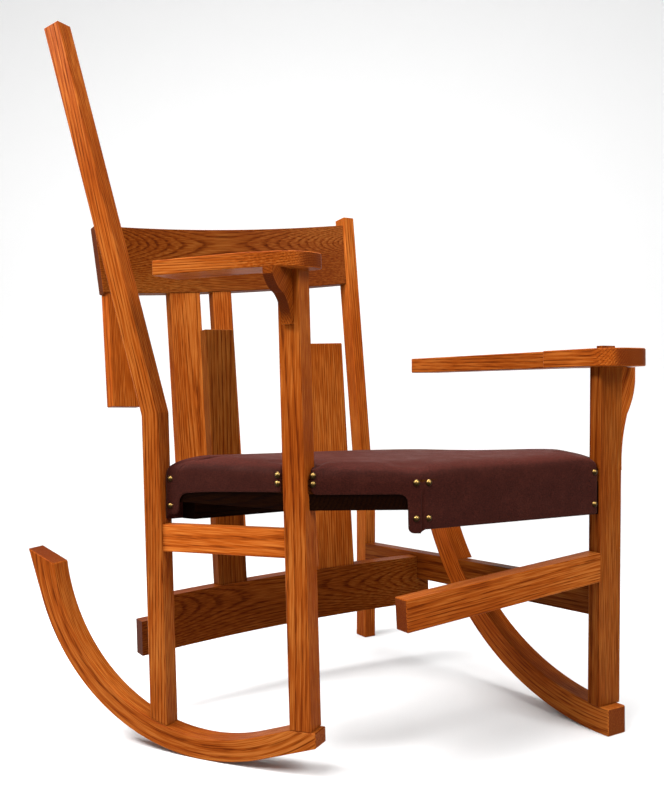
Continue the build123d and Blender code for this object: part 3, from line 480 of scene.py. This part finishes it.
# seat frame, board and blocks: the same figure made near-black, as painted shade for the dark space under the
# seat
paintedShadeSeatWood = {
    "front_seat_rail": {"along": right, "seed": 21.0, "toneAndShade": 0.02},
    "near_front_seat_rail": {"along": -right, "seed": 22.0, "toneAndShade": 0.02},
    "near_seat_rail": {"along": nearBack, "seed": 23.0, "toneAndShade": 0.02},
    "rear_seat_rail": {"along": right, "seed": 24.0, "toneAndShade": 0.03},
    "far_seat_rail": {"along": back, "seed": 25.0, "toneAndShade": 0.03},
    "seat_board": {"along": right, "seed": 26.0, "toneAndShade": 0.12},
    "front_corner_block": {"along": right, "seed": 27.0, "toneAndShade": 0.12},
    "near_rear_corner_block": {"along": right, "seed": 28.0, "toneAndShade": 0.12},
    "far_rear_corner_block": {"along": right, "seed": 29.0, "toneAndShade": 0.12},
}
for name, member in paintedShadeSeatWood.items():
    dress(name, oakMaterial(name, {"across": up, "heart": (0.02, 0.08, 0), **member}))

# metal: tarnished in spots, and darkened with painted shade where it faces away from the light above
metals = {
    "brass_nails": {
        # stain: the colour of the tarnish spots, also used as painted shade on faces turned down
        "material": "antiqueBrass", "color": linear(134, 107, 60), "stain": linear(38, 26, 12),
        "roughness": 0.24, "shaded": (-0.15, 0.75),
    },
    "board_screws": {
        "material": "zincScrew", "color": linear(176, 178, 182), "stain": linear(140, 140, 142),
        "roughness": 0.35, "shaded": (-1.0, -0.9),
    },
}
tarnish = {"scale": (420, 420, 420), "spots": (0.4, 0.7, 0.0, 0.6), "rougher": 0.2}


def metalMaterial(metal):
    material, tree, shader = newMaterial(metal["material"])
    place = addNode(tree, "ShaderNodeTexCoord", (-6, 0))
    spots = noise(tree, (-5, 0), place.outputs["Object"], tarnish["scale"], 3.0)
    spotted = fade(tree, (-3, 0), spots.outputs["Fac"], *tarnish["spots"])
    upward = parts(tree, (-5, -2), place.outputs["Normal"])["Z"]
    # painted shade: faces turned down are mixed towards the stain colour
    paintedShade = fade(tree, (-4, -2), upward, *metal["shaded"], 1.0, 0.0)
    tarnishAndShade = maths(tree, (-2, 1), "MAXIMUM", spotted, paintedShade)
    color = mixColor(tree, (-2, 0), tarnishAndShade, metal["color"], metal["stain"])
    worn = metal["roughness"] + tarnish["rougher"]
    roughness = fade(tree, (-2, -2), tarnishAndShade, 0.0, 1.0, metal["roughness"], worn)
    shader.inputs["Metallic"].default_value = 1.0
    tree.links.new(color, shader.inputs["Base Color"])
    tree.links.new(roughness, shader.inputs["Roughness"])
    return material


for name, metal in metals.items():
    dress(name, metalMaterial(metal))
print("seat frame, nails and screws dressed")

# seat cover: one leather sheet over the padding, cut round the posts and hung with lobes at the near corners
cover = {
    "frontHem": 0.326, "rearHem": 0.326, "nearHem": 0.373, "notchHem": 0.384,
    # a lobe's width and hem, the round of its toe, and the arch from it up to the near hem
    "frontLobe": (0.020, 0.321), "rearLobe": (0.024, 0.334), "lobeToe": 0.008, "lobeArch": 0.012,
    "lobeSteps": 5, "lobeGap": 0.0003, "lobeClear": 0.002,
    # the near hem falls along its length, dips beside the rear lobe, and is raised as a whole
    "hemFall": 0.0105, "hemDip": 0.004, "hemDipReach": 0.02, "hemRise": 0.004, "falloff": 2.718,
    "sideTop": 0.392, "crown": 0.4110, "crownReach": 0.07, "thick": 0.002, "postHalf": 0.016, "postGap": 0.0012,
    # the rolled edge, as inset and height; a cut beside a post rolls in less
    "roll": ((0.0, 0.3965), (0.0012, 0.4008), (0.0040, 0.4046), (0.0085, 0.4076), (0.0150, 0.4098)),
    "notchRoll": 0.4, "leastSquare": 0.45, "besidePost": 0.6,
    "spine": ((-0.40, -0.452), (-0.10, -0.487)), "spacing": 0.006, "sideRows": 9, "topRows": 18, "weld": 0.0002,
    "seam": 0.0045, "seamHalf": 0.0016, "seamTop": 0.384, "seamFull": 0.370,
    "pressure": 4.0, "frames": 20, "cap": 0.0025,
}
farFront = Vector((0, -0.632))
nearFrontCorner = Vector((-0.326, -0.607))
nearPost = Vector((-0.4609, -0.5146))
nearRear = Vector((-0.5762, -0.3374))
farRear = Vector((0, -0.345))
half = cover["postHalf"] + cover["postGap"]
backFlat, inFlat = nearBack.xy, nearIn.xy
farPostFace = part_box("far_front_post")[0].x - cover["postGap"]
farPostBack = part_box("far_front_post")[1].y + cover["postGap"]


def meet(start, end, origin, axis, reach):
    # where the line from start to end comes to the plane that lies reach along axis from origin
    first = (start - origin).dot(axis)
    last = (end - origin).dot(axis)
    return start + (end - start) * ((reach - first) / (last - first))


nearPostOut = nearPost - inFlat * cover["postHalf"]
frontStart = meet(farFront, nearFrontCorner, Vector((farPostFace, 0)), right.xy, 0)
postFront = meet(nearFrontCorner, nearPostOut, nearPost, backFlat, -half)
postRear = meet(nearPostOut, nearRear, nearPost, backFlat, half)
notchFront = nearPost - backFlat * half + inFlat * half
notchRear = nearPost + backFlat * half + inFlat * half
farEnd = Vector((0, farPostBack))
farNotch = Vector((farPostFace, farPostBack))
# the cover's edge, run by run, once round the seat
runs = [
    ("front", frontStart, nearFrontCorner),
    ("nearFront", nearFrontCorner, postFront),
    ("notch", postFront, notchFront),
    ("notch", notchFront, notchRear),
    ("notch", notchRear, postRear),
    ("near", postRear, nearRear),
    ("rear", nearRear, farRear),
    ("rear", farRear, farEnd),
    ("notch", farEnd, farNotch),
    ("notch", farNotch, frontStart),
]


def falloff(reaches):
    return cover["falloff"] ** -reaches


def lobeHem(distance, width, bottom):
    toe, arch = cover["lobeToe"], cover["lobeArch"]
    if distance < width - toe:
        return bottom
    if distance <= width:
        return bottom + toe - sqrt(max(0, toe**2 - (distance - width + toe) ** 2))
    if distance < width + arch:
        return cover["nearHem"] - arch + sqrt(max(0, arch**2 - (width + arch - distance) ** 2))
    return cover["nearHem"]


def hemAt(kind, distance, length):
    if kind == "nearFront":
        return lobeHem(distance, *cover["frontLobe"])
    if kind == "near":
        hem = lobeHem(length - distance, *cover["rearLobe"])
        past = max(0, length - distance - cover["rearLobe"][0])
        if past == 0:
            return hem
        dip = cover["hemDip"] * falloff(past / cover["hemDipReach"])
        return hem - (cover["hemFall"] * (1 - past / length) + dip - cover["hemRise"])
    return cover[kind + "Hem"]


def runPlaces(kind, length):
    # distances along a run, close together at a lobe's curved edge
    count = max(2, round(length / cover["spacing"]))
    places = {length * i / count for i in range(count)}
    if kind == "nearFront":
        places.add(cover["seamHalf"])
    if kind == "front":
        places.add(length - cover["seamHalf"])
    if kind not in ("nearFront", "near"):
        return sorted(places)

    # the front lobe starts its run and the rear lobe ends its own
    def fromLobe(distance):
        return distance if kind == "nearFront" else length - distance

    width = cover["frontLobe" if kind == "nearFront" else "rearLobe"][0]
    angles = [pi / 2 * i / cover["lobeSteps"] for i in range(cover["lobeSteps"] + 1)]
    curved = [width - cover["lobeToe"] * (1 - sin(angle)) for angle in angles]
    curved += [width + cover["lobeGap"] + cover["lobeArch"] * (1 - cos(angle)) for angle in angles]
    low, high = min(curved) - cover["lobeClear"], max(curved) + cover["lobeClear"]
    places = {distance for distance in places if not low < fromLobe(distance) < high}
    return sorted(places | {fromLobe(distance) for distance in curved})


# where the top is held down by nails and cuts, or stands fuller: place, drop and reach
sags = (
    (nearFrontCorner, 0.004, 0.03), (nearRear, 0.004, 0.03), (nearRear, -0.004, 0.2), (frontStart, 0.002, 0.02),
    (farRear, 0.013, 0.1), (Vector((-0.03, -0.57)), -0.004, 0.08), (farRear + Vector((-0.14, 0)), 0.002, 0.1),
)


def cornerSag(point):
    return sum(drop * falloff(((point - place).length / reach) ** 2) for place, drop, reach in sags)


spineStart, spineEnd = (Vector(point) for point in cover["spine"])


def spineAt(point):
    share = (point.x - spineStart.x) / (spineEnd.x - spineStart.x)
    return spineStart.lerp(spineEnd, min(1, max(0, share)))


def rollScale(kind):
    return cover["notchRoll"] if kind == "notch" else 1.0


def alongPost(kind, run, toSpine):
    # a cut edge that runs in beside a post needs only its corner
    return kind == "notch" and abs(run.normalized().dot(toSpine.normalized())) > cover["besidePost"]


def edgeGap(spot, start, end):
    run = end - start
    share = (spot - start).dot(run) / run.length_squared
    return (spot - start - run * min(1, max(0, share))).length


def rollHeight(gap, scale):
    lastInset, lastHeight = cover["roll"][0]
    for inset, height in cover["roll"][1:]:
        if gap < inset * scale:
            return lastHeight + (height - lastHeight) * (gap / scale - lastInset) / (inset - lastInset)
        lastInset, lastHeight = inset, height
    return lastHeight


def topHeight(spot):
    # the lowest of the rolled edges nearby, with the crown's small rise inside them
    gaps = [(edgeGap(spot, start, end), rollScale(kind)) for kind, start, end in runs]
    level = min(rollHeight(gap, scale) for gap, scale in gaps)
    inside = min(1, min(gaps)[0] / cover["crownReach"])
    rise = cover["crown"] - cover["roll"][-1][1]
    return level + rise * sin(pi / 2 * inside) - cornerSag(spot)


def seamDepth(height):
    share = (cover["seamTop"] - height) / (cover["seamTop"] - cover["seamFull"])
    return cover["seam"] * min(1, max(0, share))


def coverColumn(kind, start, end, distance):
    # points from the hem up the side, over the rolled edge and in to the spine
    run = end - start
    inward = Vector((run.y, -run.x)).normalized()
    point = start + run.normalized() * distance
    spine = spineAt(point)
    toSpine = spine - point
    toward = toSpine.normalized()
    if not alongPost(kind, run, toSpine):
        toward = toward / max(cover["leastSquare"], toward.dot(inward))
    hem = hemAt(kind, distance, run.length)
    sideTop = cover["sideTop"] - cornerSag(point)
    atSeam = kind == "nearFront" and distance == 0
    column = []
    for row in range(cover["sideRows"]):
        height = hem + (sideTop - hem) * (row / cover["sideRows"])
        column.append((*(point + toward * (seamDepth(height) if atSeam else 0)), height))
    for inset, _ in cover["roll"]:
        edge = point + toward * inset * rollScale(kind)
        column.append((*edge, topHeight(edge)))
    for row in range(1, cover["topRows"]):
        spot = edge.lerp(spine, row / cover["topRows"])
        column.append((*spot, topHeight(spot)))
    return column


columns = []
for kind, start, end in runs:
    atCorner = alongPost(kind, end - start, spineAt(start) - start)
    for distance in [0] if atCorner else runPlaces(kind, (end - start).length):
        columns.append(coverColumn(kind, start, end, distance))

tall = len(columns[0])
sheetFaces = []
for i in range(len(columns)):
    j = (i + 1) % len(columns)
    for row in range(tall - 1):
        sheetFaces.append((i * tall + row, j * tall + row, j * tall + row + 1, i * tall + row + 1))
sheet = bpy.data.meshes.new("seatCover")
sheet.from_pydata([point for column in columns for point in column], [], sheetFaces)
seatCover = bpy.data.objects.new("seatCover", sheet)
scene.collection.objects.link(seatCover)
bpy.ops.object.select_all(action="DESELECT")
seatCover.select_set(True)
bpy.context.view_layer.objects.active = seatCover
bpy.ops.object.mode_set(mode="EDIT")
bpy.ops.mesh.select_all(action="DESELECT")
bpy.ops.object.mode_set(mode="OBJECT")
for i in range(len(columns)):
    sheet.vertices[i * tall + tall - 1].select = True
bpy.ops.object.mode_set(mode="EDIT")
bpy.ops.mesh.select_mode(type="VERT")
bpy.ops.mesh.fill()
bpy.ops.mesh.select_all(action="SELECT")
bpy.ops.mesh.remove_doubles(threshold=cover["weld"])
bpy.ops.mesh.normals_make_consistent(inside=False)
bpy.ops.object.mode_set(mode="OBJECT")
print("seat cover cut,", len(sheet.vertices), "points")

# the padding's push: sides held, the top swells a little and is capped
held = seatCover.vertex_groups.new(name="held")
for vertex in sheet.vertices:
    if vertex.co.z < cover["sideTop"]:
        held.add([vertex.index], 1.0, "REPLACE")
before = [vertex.co.copy() for vertex in sheet.vertices]
swell = seatCover.modifiers.new("swell", "CLOTH")
swell.settings.quality = 6
swell.settings.mass = 0.4
swell.settings.tension_stiffness = 40
swell.settings.compression_stiffness = 40
swell.settings.bending_stiffness = 4
swell.settings.use_pressure = True
swell.settings.uniform_pressure_force = cover["pressure"]
swell.settings.vertex_group_mass = "held"
swell.settings.effector_weights.gravity = 0
swell.collision_settings.use_collision = False
for step in range(1, cover["frames"] + 1):
    scene.frame_set(step)
graph = bpy.context.evaluated_depsgraph_get()
swollen = seatCover.evaluated_get(graph).data
moves = [swollen.vertices[i].co - start for i, start in enumerate(before)]
seatCover.modifiers.remove(swell)
for vertex, start, move in zip(sheet.vertices, before, moves):
    if move.length > cover["cap"]:
        move = move.normalized() * cover["cap"]
    vertex.co = start + move
scene.frame_set(1)
print("seat cover swollen, most", max(move.length for move in moves))

wall = seatCover.modifiers.new("wall", "SOLIDIFY")
wall.thickness = cover["thick"]
wall.offset = -1
smooth = seatCover.modifiers.new("smooth", "SUBSURF")
smooth.levels = smooth.render_levels = 1
bpy.ops.object.modifier_apply(modifier="wall")
bpy.ops.object.modifier_apply(modifier="smooth")
bpy.ops.object.shade_smooth()

# fine matte leather: pebbles with painted shade in their hollows, rubbed lighter in patches, a painted sheen
# that makes the top lighter and redder, and a soft sheen
leather = {
    # crease: painted shade for the hollows between pebbles
    "base": linear(45, 15, 10), "rubbed": linear(51, 19, 13), "crease": linear(28, 8, 4),
    # top: painted sheen, the lighter and redder colour given to faces turned up
    "top": linear(66, 25, 19),
    "mottleScale": (38, 38, 38), "speckScale": (700, 700, 700), "speckTone": (0.3, 0.7, 0.65, 1.35),
    "upward": (0.6, 0.98), "creaseShare": 0.5, "roughness": (-0.1, 0.62), "bump": 0.35, "pebbleDepth": 0.0004,
    "sheen": 0.03, "sheenRoughness": 0.5, "sheenTint": (1.0, 0.72, 0.62, 1), "specular": 0.025,
}
hideTree, given, result = newGroup(
    "leatherGrainAndPaintedLight",
    [
        ("Vector", "NodeSocketVector", (0, 0, 0)), ("Normal", "NodeSocketVector", (0, 0, 1)),
        ("Scale", "NodeSocketFloat", 900.0),
    ],
    [("Color", "NodeSocketColor"), ("Roughness", "NodeSocketFloat"), ("Height", "NodeSocketFloat")],
)
pebble = addNode(hideTree, "ShaderNodeTexVoronoi", (-4, 1))
hideTree.links.new(given["Vector"], pebble.inputs["Vector"])
hideTree.links.new(given["Scale"], pebble.inputs["Scale"])
hollow = fade(hideTree, (-2, 1), pebble.outputs["Distance"], 0.25, 0.7)
mottle = noise(hideTree, (-4, -1), given["Vector"], leather["mottleScale"], 4.0)
rubbed = fade(hideTree, (-2, -1), mottle.outputs["Fac"], 0.4, 0.72)
speck = noise(hideTree, (-4, -2), given["Vector"], leather["speckScale"], 2.0)
speckTone = fade(hideTree, (-2, -2), speck.outputs["Fac"], *leather["speckTone"])
plain = mixColor(hideTree, (-1, 0), rubbed, leather["base"], leather["rubbed"])
# painted sheen: faces turned up are mixed towards the top colour
upward = fade(hideTree, (-2, 0), parts(hideTree, (-3, 0), given["Normal"])["Z"], *leather["upward"])
hide = mixColor(hideTree, (0, 0), upward, plain, leather["top"])
# painted shade: the hollows between pebbles are mixed towards the darker crease colour
creased = maths(hideTree, (1, 1), "MULTIPLY", hollow, leather["creaseShare"])
grained = mixColor(hideTree, (2, 0), creased, hide, leather["crease"])
rough = maths(hideTree, (4, -1), "MULTIPLY_ADD", rubbed, *leather["roughness"])
hideTree.links.new(scaled(hideTree, (4, 0), grained, speckTone), result["Color"])
hideTree.links.new(rough, result["Roughness"])
hideTree.links.new(maths(hideTree, (4, 1), "SUBTRACT", 1.0, hollow), result["Height"])

leatherMaterial, tree, shader = newMaterial("maroonLeather")
place = addNode(tree, "ShaderNodeTexCoord", (-6, 0))
grain = addNode(tree, "ShaderNodeGroup", (-4, 0), node_tree=hideTree)
tree.links.new(place.outputs["Object"], grain.inputs["Vector"])
tree.links.new(place.outputs["Normal"], grain.inputs["Normal"])
tree.links.new(grain.outputs["Color"], shader.inputs["Base Color"])
tree.links.new(grain.outputs["Roughness"], shader.inputs["Roughness"])
shader.inputs["Sheen Weight"].default_value = leather["sheen"]
shader.inputs["Sheen Roughness"].default_value = leather["sheenRoughness"]
shader.inputs["Sheen Tint"].default_value = leather["sheenTint"]
shader.inputs["Specular IOR Level"].default_value = leather["specular"]
pebbled = bumpNormal(tree, (-2, -2), grain.outputs["Height"], leather["bump"], leather["pebbleDepth"])
tree.links.new(pebbled, shader.inputs["Normal"])
seatCover.data.materials.append(leatherMaterial)
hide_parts("seat_cushion", "front_apron", "near_apron", "rear_apron")
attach(seatCover, "root")
print("seat cover dressed")
